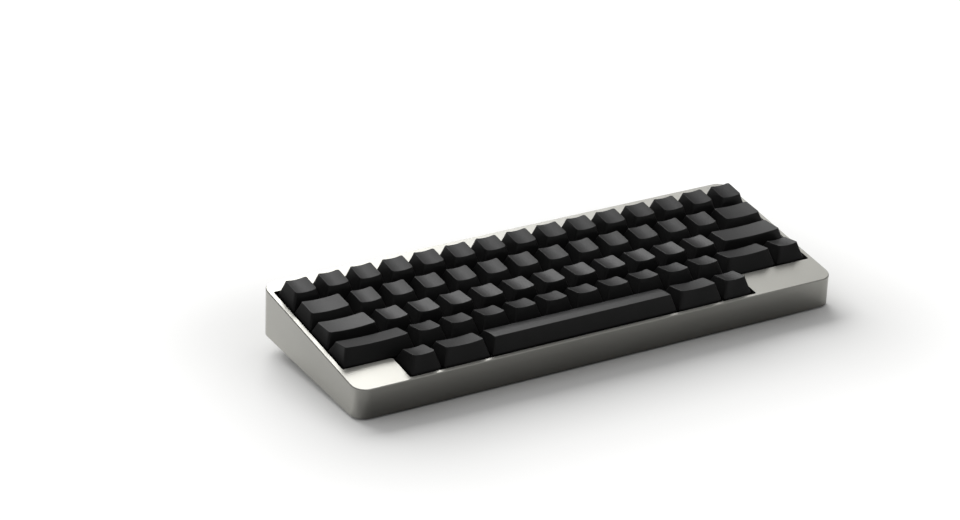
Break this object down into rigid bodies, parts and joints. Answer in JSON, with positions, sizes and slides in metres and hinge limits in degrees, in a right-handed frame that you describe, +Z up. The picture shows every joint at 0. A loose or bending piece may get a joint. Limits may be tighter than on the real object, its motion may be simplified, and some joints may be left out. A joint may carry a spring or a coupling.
{
  "type": "compact keyboard",
  "caption": "Compact mechanical keyboard with a wedge-shaped metal case, bare front corners and dark sculpted keycaps that press and spring back; USB-C socket at the back.",
  "frame": {"origin": "on the desk, under the middle of the case", "axes": "+X to the right along the rows of keys, +Y to the back, +Z up; the feet stand on Z = 0"},
  "size_m": [0.2934, 0.1096, 0.0422],
  "materials": {
    "case_metal": "bead-blasted, satin",
    "key_plastic": "fine matte texture",
    "foot_rubber": "matte",
    "screw_steel": "machined",
    "socket_steel": "satin",
    "plate_steel": "black oxide, satin",
    "board_laminate": "solder mask",
    "switch_plastic": "moulded",
    "spring_steel": "drawn wire"
  },
  "bodies": {
    "case": {"bottom_cover": "case_metal", "circuit_board": "board_laminate", "rubber_feet": "foot_rubber", "screws": "screw_steel", "stabiliser_housings": "switch_plastic", "switch_housings": "switch_plastic", "switch_plate": "plate_steel", "switch_springs": "spring_steel", "top_case": "case_metal", "underside_bar": "case_metal", "usb_board": "socket_steel"},
    "key_bottom_01": {"key_bottom_01": "key_plastic"},
    "key_bottom_02": {"key_bottom_02": "key_plastic"},
    "key_bottom_04": {"key_bottom_04": "key_plastic"},
    "key_bottom_05": {"key_bottom_05": "key_plastic"},
    "key_home_01": {"key_home_01": "key_plastic"},
    "key_home_02": {"key_home_02": "key_plastic"},
    "key_home_03": {"key_home_03": "key_plastic"},
    "key_home_04": {"key_home_04": "key_plastic"},
    "key_home_05": {"key_home_05": "key_plastic"},
    "key_home_06": {"key_home_06": "key_plastic"},
    "key_home_07": {"key_home_07": "key_plastic"},
    "key_home_08": {"key_home_08": "key_plastic"},
    "key_home_09": {"key_home_09": "key_plastic"},
    "key_home_10": {"key_home_10": "key_plastic"},
    "key_home_11": {"key_home_11": "key_plastic"},
    "key_home_12": {"key_home_12": "key_plastic"},
    "key_home_13": {"key_home_13": "key_plastic"},
    "key_shift_01": {"key_shift_01": "key_plastic"},
    "key_shift_02": {"key_shift_02": "key_plastic"},
    "key_shift_03": {"key_shift_03": "key_plastic"},
    "key_shift_04": {"key_shift_04": "key_plastic"},
    "key_shift_05": {"key_shift_05": "key_plastic"},
    "key_shift_06": {"key_shift_06": "key_plastic"},
    "key_shift_07": {"key_shift_07": "key_plastic"},
    "key_shift_08": {"key_shift_08": "key_plastic"},
    "key_shift_09": {"key_shift_09": "key_plastic"},
    "key_shift_10": {"key_shift_10": "key_plastic"},
    "key_shift_11": {"key_shift_11": "key_plastic"},
    "key_shift_12": {"key_shift_12": "key_plastic"},
    "key_shift_13": {"key_shift_13": "key_plastic"},
    "key_space_bar": {"key_space_bar": "key_plastic"},
    "key_tab_01": {"key_tab_01": "key_plastic"},
    "key_tab_02": {"key_tab_02": "key_plastic"},
    "key_tab_03": {"key_tab_03": "key_plastic"},
    "key_tab_04": {"key_tab_04": "key_plastic"},
    "key_tab_05": {"key_tab_05": "key_plastic"},
    "key_tab_06": {"key_tab_06": "key_plastic"},
    "key_tab_07": {"key_tab_07": "key_plastic"},
    "key_tab_08": {"key_tab_08": "key_plastic"},
    "key_tab_09": {"key_tab_09": "key_plastic"},
    "key_tab_10": {"key_tab_10": "key_plastic"},
    "key_tab_11": {"key_tab_11": "key_plastic"},
    "key_tab_12": {"key_tab_12": "key_plastic"},
    "key_tab_13": {"key_tab_13": "key_plastic"},
    "key_tab_14": {"key_tab_14": "key_plastic"},
    "keys_number_row": {"keys_number_row": "key_plastic"},
    "wire_home_13": {"wire_home_13": "spring_steel"},
    "wire_shift_01": {"wire_shift_01": "spring_steel"},
    "wire_space_bar": {"wire_space_bar": "spring_steel"}
  },
  "joints": [
    {"name": "key_bottom_01_press", "type": "slide", "parent": "case", "child": "key_bottom_01", "axis": [0, 0.1754, -0.9845], "range_m": [0, 0.004], "stiffness_N_per_m": 75, "springref_m": -0.0044},
    {"name": "key_bottom_02_press", "type": "slide", "parent": "case", "child": "key_bottom_02", "axis": [0, 0.1754, -0.9845], "range_m": [0, 0.004], "stiffness_N_per_m": 75, "springref_m": -0.0044},
    {"name": "key_bottom_04_press", "type": "slide", "parent": "case", "child": "key_bottom_04", "axis": [0, 0.1754, -0.9845], "range_m": [0, 0.004], "stiffness_N_per_m": 75, "springref_m": -0.0044},
    {"name": "key_bottom_05_press", "type": "slide", "parent": "case", "child": "key_bottom_05", "axis": [0, 0.1754, -0.9845], "range_m": [0, 0.004], "stiffness_N_per_m": 75, "springref_m": -0.0044},
    {"name": "key_home_01_press", "type": "slide", "parent": "case", "child": "key_home_01", "axis": [0, 0.1754, -0.9845], "range_m": [0, 0.004], "stiffness_N_per_m": 75, "springref_m": -0.0044},
    {"name": "key_home_02_press", "type": "slide", "parent": "case", "child": "key_home_02", "axis": [0, 0.1754, -0.9845], "range_m": [0, 0.004], "stiffness_N_per_m": 75, "springref_m": -0.0044},
    {"name": "key_home_03_press", "type": "slide", "parent": "case", "child": "key_home_03", "axis": [0, 0.1754, -0.9845], "range_m": [0, 0.004], "stiffness_N_per_m": 75, "springref_m": -0.0044},
    {"name": "key_home_04_press", "type": "slide", "parent": "case", "child": "key_home_04", "axis": [0, 0.1754, -0.9845], "range_m": [0, 0.004], "stiffness_N_per_m": 75, "springref_m": -0.0044},
    {"name": "key_home_05_press", "type": "slide", "parent": "case", "child": "key_home_05", "axis": [0, 0.1754, -0.9845], "range_m": [0, 0.004], "stiffness_N_per_m": 75, "springref_m": -0.0044},
    {"name": "key_home_06_press", "type": "slide", "parent": "case", "child": "key_home_06", "axis": [0, 0.1754, -0.9845], "range_m": [0, 0.004], "stiffness_N_per_m": 75, "springref_m": -0.0044},
    {"name": "key_home_07_press", "type": "slide", "parent": "case", "child": "key_home_07", "axis": [0, 0.1754, -0.9845], "range_m": [0, 0.004], "stiffness_N_per_m": 75, "springref_m": -0.0044},
    {"name": "key_home_08_press", "type": "slide", "parent": "case", "child": "key_home_08", "axis": [0, 0.1754, -0.9845], "range_m": [0, 0.004], "stiffness_N_per_m": 75, "springref_m": -0.0044},
    {"name": "key_home_09_press", "type": "slide", "parent": "case", "child": "key_home_09", "axis": [0, 0.1754, -0.9845], "range_m": [0, 0.004], "stiffness_N_per_m": 75, "springref_m": -0.0044},
    {"name": "key_home_10_press", "type": "slide", "parent": "case", "child": "key_home_10", "axis": [0, 0.1754, -0.9845], "range_m": [0, 0.004], "stiffness_N_per_m": 75, "springref_m": -0.0044},
    {"name": "key_home_11_press", "type": "slide", "parent": "case", "child": "key_home_11", "axis": [0, 0.1754, -0.9845], "range_m": [0, 0.004], "stiffness_N_per_m": 75, "springref_m": -0.0044},
    {"name": "key_home_12_press", "type": "slide", "parent": "case", "child": "key_home_12", "axis": [0, 0.1754, -0.9845], "range_m": [0, 0.004], "stiffness_N_per_m": 75, "springref_m": -0.0044},
    {"name": "key_home_13_press", "type": "slide", "parent": "case", "child": "key_home_13", "axis": [0, 0.1754, -0.9845], "range_m": [0, 0.004], "stiffness_N_per_m": 75, "springref_m": -0.0044},
    {"name": "key_shift_01_press", "type": "slide", "parent": "case", "child": "key_shift_01", "axis": [0, 0.1754, -0.9845], "range_m": [0, 0.004], "stiffness_N_per_m": 75, "springref_m": -0.0044},
    {"name": "key_shift_02_press", "type": "slide", "parent": "case", "child": "key_shift_02", "axis": [0, 0.1754, -0.9845], "range_m": [0, 0.004], "stiffness_N_per_m": 75, "springref_m": -0.0044},
    {"name": "key_shift_03_press", "type": "slide", "parent": "case", "child": "key_shift_03", "axis": [0, 0.1754, -0.9845], "range_m": [0, 0.004], "stiffness_N_per_m": 75, "springref_m": -0.0044},
    {"name": "key_shift_04_press", "type": "slide", "parent": "case", "child": "key_shift_04", "axis": [0, 0.1754, -0.9845], "range_m": [0, 0.004], "stiffness_N_per_m": 75, "springref_m": -0.0044},
    {"name": "key_shift_05_press", "type": "slide", "parent": "case", "child": "key_shift_05", "axis": [0, 0.1754, -0.9845], "range_m": [0, 0.004], "stiffness_N_per_m": 75, "springref_m": -0.0044},
    {"name": "key_shift_06_press", "type": "slide", "parent": "case", "child": "key_shift_06", "axis": [0, 0.1754, -0.9845], "range_m": [0, 0.004], "stiffness_N_per_m": 75, "springref_m": -0.0044},
    {"name": "key_shift_07_press", "type": "slide", "parent": "case", "child": "key_shift_07", "axis": [0, 0.1754, -0.9845], "range_m": [0, 0.004], "stiffness_N_per_m": 75, "springref_m": -0.0044},
    {"name": "key_shift_08_press", "type": "slide", "parent": "case", "child": "key_shift_08", "axis": [0, 0.1754, -0.9845], "range_m": [0, 0.004], "stiffness_N_per_m": 75, "springref_m": -0.0044},
    {"name": "key_shift_09_press", "type": "slide", "parent": "case", "child": "key_shift_09", "axis": [0, 0.1754, -0.9845], "range_m": [0, 0.004], "stiffness_N_per_m": 75, "springref_m": -0.0044},
    {"name": "key_shift_10_press", "type": "slide", "parent": "case", "child": "key_shift_10", "axis": [0, 0.1754, -0.9845], "range_m": [0, 0.004], "stiffness_N_per_m": 75, "springref_m": -0.0044},
    {"name": "key_shift_11_press", "type": "slide", "parent": "case", "child": "key_shift_11", "axis": [0, 0.1754, -0.9845], "range_m": [0, 0.004], "stiffness_N_per_m": 75, "springref_m": -0.0044},
    {"name": "key_shift_12_press", "type": "slide", "parent": "case", "child": "key_shift_12", "axis": [0, 0.1754, -0.9845], "range_m": [0, 0.004], "stiffness_N_per_m": 75, "springref_m": -0.0044},
    {"name": "key_shift_13_press", "type": "slide", "parent": "case", "child": "key_shift_13", "axis": [0, 0.1754, -0.9845], "range_m": [0, 0.004], "stiffness_N_per_m": 75, "springref_m": -0.0044},
    {"name": "key_space_bar_press", "type": "slide", "parent": "case", "child": "key_space_bar", "axis": [0, 0.1754, -0.9845], "range_m": [0, 0.004], "stiffness_N_per_m": 90, "springref_m": -0.0044},
    {"name": "key_tab_01_press", "type": "slide", "parent": "case", "child": "key_tab_01", "axis": [0, 0.1754, -0.9845], "range_m": [0, 0.004], "stiffness_N_per_m": 75, "springref_m": -0.0044},
    {"name": "key_tab_02_press", "type": "slide", "parent": "case", "child": "key_tab_02", "axis": [0, 0.1754, -0.9845], "range_m": [0, 0.004], "stiffness_N_per_m": 75, "springref_m": -0.0044},
    {"name": "key_tab_03_press", "type": "slide", "parent": "case", "child": "key_tab_03", "axis": [0, 0.1754, -0.9845], "range_m": [0, 0.004], "stiffness_N_per_m": 75, "springref_m": -0.0044},
    {"name": "key_tab_04_press", "type": "slide", "parent": "case", "child": "key_tab_04", "axis": [0, 0.1754, -0.9845], "range_m": [0, 0.004], "stiffness_N_per_m": 75, "springref_m": -0.0044},
    {"name": "key_tab_05_press", "type": "slide", "parent": "case", "child": "key_tab_05", "axis": [0, 0.1754, -0.9845], "range_m": [0, 0.004], "stiffness_N_per_m": 75, "springref_m": -0.0044},
    {"name": "key_tab_06_press", "type": "slide", "parent": "case", "child": "key_tab_06", "axis": [0, 0.1754, -0.9845], "range_m": [0, 0.004], "stiffness_N_per_m": 75, "springref_m": -0.0044},
    {"name": "key_tab_07_press", "type": "slide", "parent": "case", "child": "key_tab_07", "axis": [0, 0.1754, -0.9845], "range_m": [0, 0.004], "stiffness_N_per_m": 75, "springref_m": -0.0044},
    {"name": "key_tab_08_press", "type": "slide", "parent": "case", "child": "key_tab_08", "axis": [0, 0.1754, -0.9845], "range_m": [0, 0.004], "stiffness_N_per_m": 75, "springref_m": -0.0044},
    {"name": "key_tab_09_press", "type": "slide", "parent": "case", "child": "key_tab_09", "axis": [0, 0.1754, -0.9845], "range_m": [0, 0.004], "stiffness_N_per_m": 75, "springref_m": -0.0044},
    {"name": "key_tab_10_press", "type": "slide", "parent": "case", "child": "key_tab_10", "axis": [0, 0.1754, -0.9845], "range_m": [0, 0.004], "stiffness_N_per_m": 75, "springref_m": -0.0044},
    {"name": "key_tab_11_press", "type": "slide", "parent": "case", "child": "key_tab_11", "axis": [0, 0.1754, -0.9845], "range_m": [0, 0.004], "stiffness_N_per_m": 75, "springref_m": -0.0044},
    {"name": "key_tab_12_press", "type": "slide", "parent": "case", "child": "key_tab_12", "axis": [0, 0.1754, -0.9845], "range_m": [0, 0.004], "stiffness_N_per_m": 75, "springref_m": -0.0044},
    {"name": "key_tab_13_press", "type": "slide", "parent": "case", "child": "key_tab_13", "axis": [0, 0.1754, -0.9845], "range_m": [0, 0.004], "stiffness_N_per_m": 75, "springref_m": -0.0044},
    {"name": "key_tab_14_press", "type": "slide", "parent": "case", "child": "key_tab_14", "axis": [0, 0.1754, -0.9845], "range_m": [0, 0.004], "stiffness_N_per_m": 75, "springref_m": -0.0044},
    {"name": "keys_number_row_press", "type": "slide", "parent": "case", "child": "keys_number_row", "axis": [0, 0.1754, -0.9845], "range_m": [0, 0.004], "stiffness_N_per_m": 1125, "springref_m": -0.0044},
    {"name": "wire_home_13_turn", "type": "hinge", "parent": "case", "child": "wire_home_13", "pos_m": [0.12144, -0.01088, 0.01501], "axis": [-1, 0, 0], "range_deg": [0, 29.6]},
    {"name": "wire_shift_01_turn", "type": "hinge", "parent": "case", "child": "wire_shift_01", "pos_m": [-0.12144, -0.02964, 0.01167], "axis": [-1, 0, 0], "range_deg": [0, 29.6]},
    {"name": "wire_space_bar_turn", "type": "hinge", "parent": "case", "child": "wire_space_bar", "pos_m": [-0.00953, -0.04839, 0.00833], "axis": [-1, 0, 0], "range_deg": [0, 29.6]}
  ],
  "couplings": [
    {"joint": "wire_home_13_turn", "follows": "key_home_13_press", "rad_per_m": 128.53},
    {"joint": "wire_shift_01_turn", "follows": "key_shift_01_press", "rad_per_m": 128.53},
    {"joint": "wire_space_bar_turn", "follows": "key_space_bar_press", "rad_per_m": 128.53}
  ]
}
